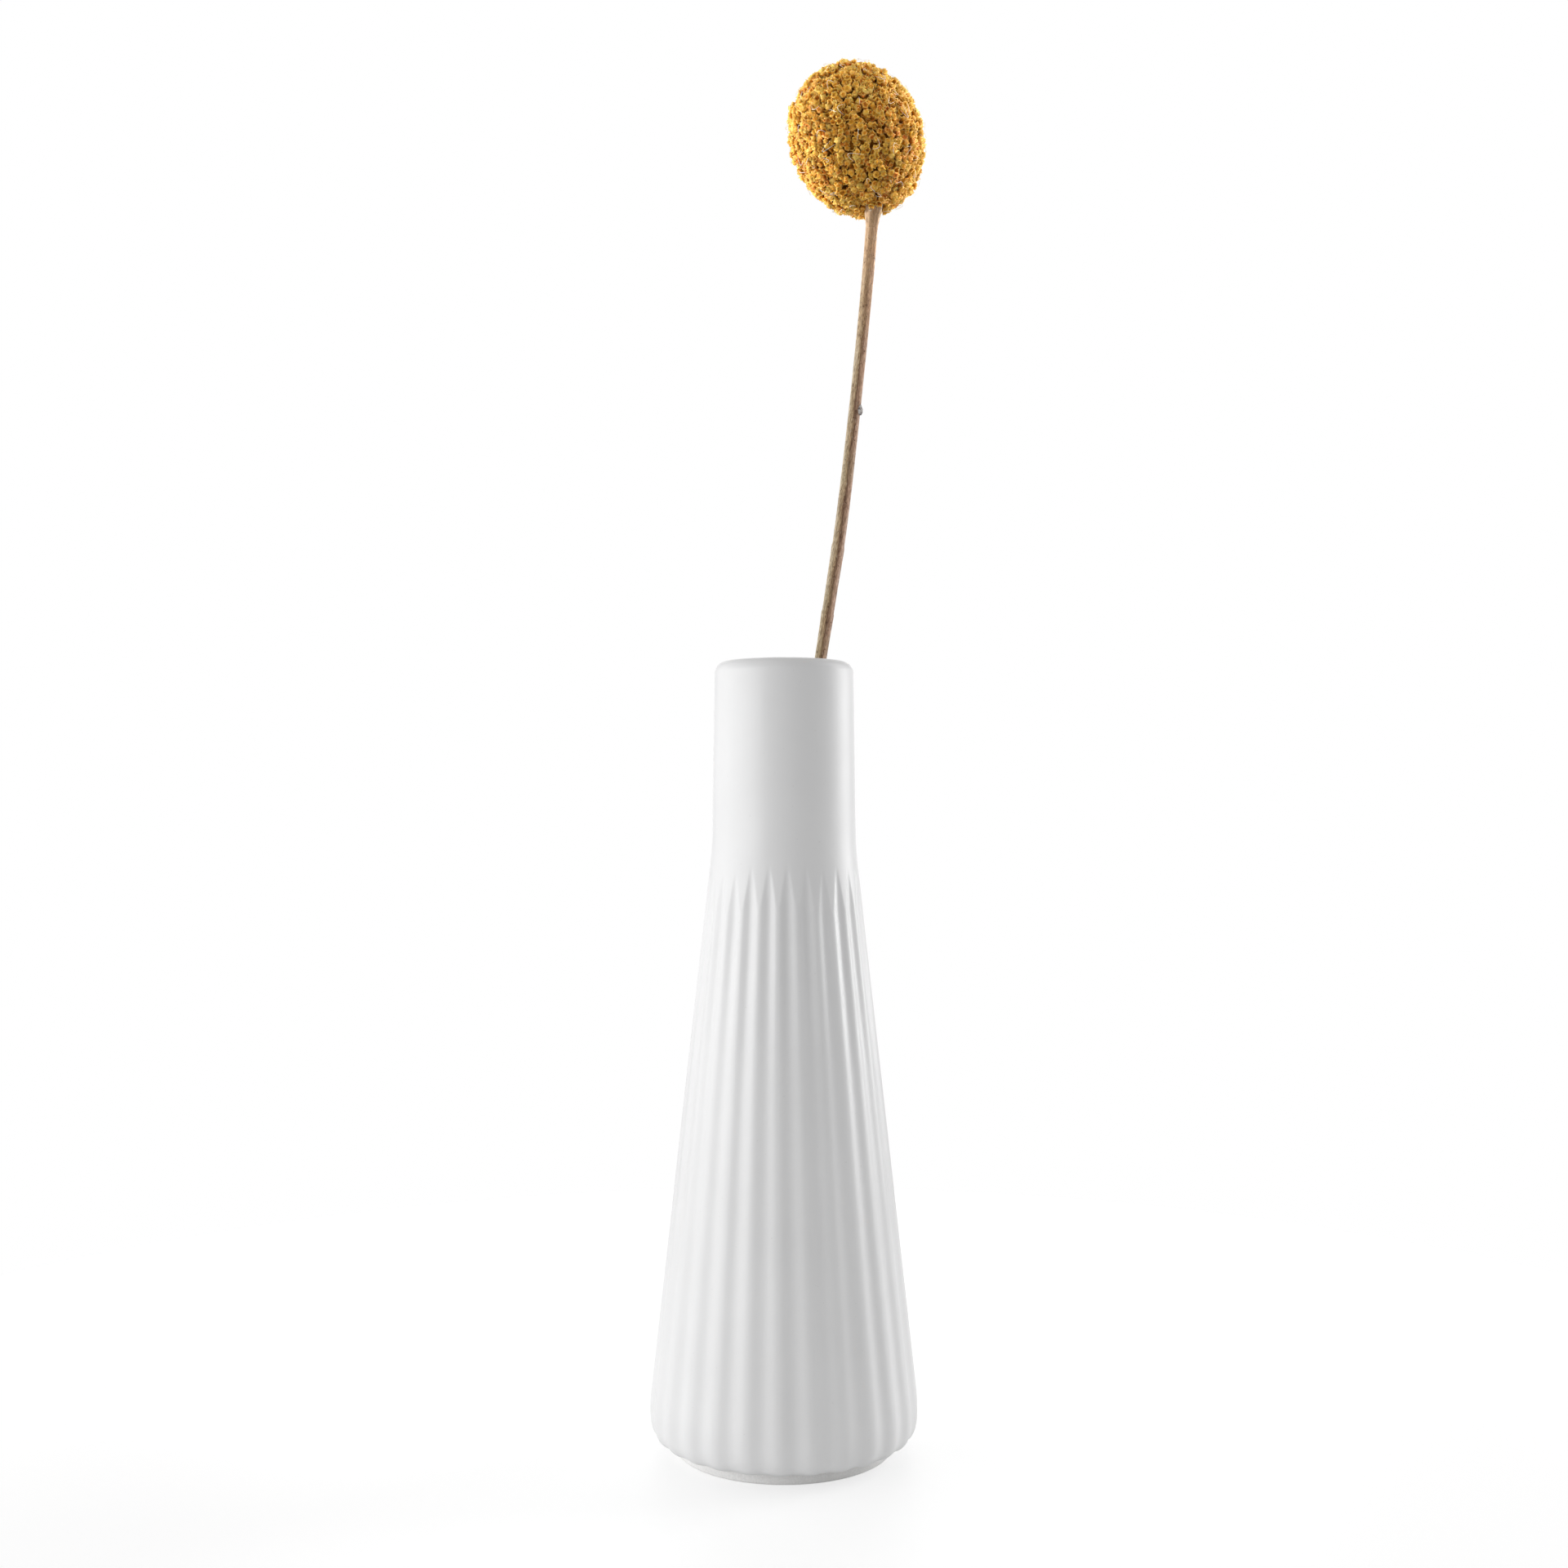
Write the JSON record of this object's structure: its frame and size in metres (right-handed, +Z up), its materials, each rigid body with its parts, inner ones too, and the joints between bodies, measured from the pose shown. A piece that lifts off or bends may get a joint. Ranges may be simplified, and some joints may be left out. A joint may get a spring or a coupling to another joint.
{
  "type": "bud vase",
  "caption": "Slender fluted porcelain bud vase with a smooth round neck, holding one dried billy-button flower that lifts out.",
  "frame": {"origin": "centre of the vase's foot, on the table's surface", "axes": "+Z up along the vase's axis, -Y the front, +X to the right, the side that the flower leans to"},
  "size_m": [0.0571, 0.0544, 0.2857],
  "materials": {
    "porcelain": "satin",
    "stem": "matte",
    "leaf": "matte",
    "receptacle": "matte",
    "florets": "matte"
  },
  "bodies": {
    "vase": {"vase_body": "porcelain"},
    "flower": {"flower_stem": "stem", "leaf_stub": "leaf", "flower_receptacle": "receptacle", "floret_head": "florets"}
  },
  "joints": [
    {"name": "flower_lift", "type": "slide", "parent": "vase", "child": "flower", "axis": [0.1561, 0, 0.9877], "range_m": [0, 0.17]}
  ]
}
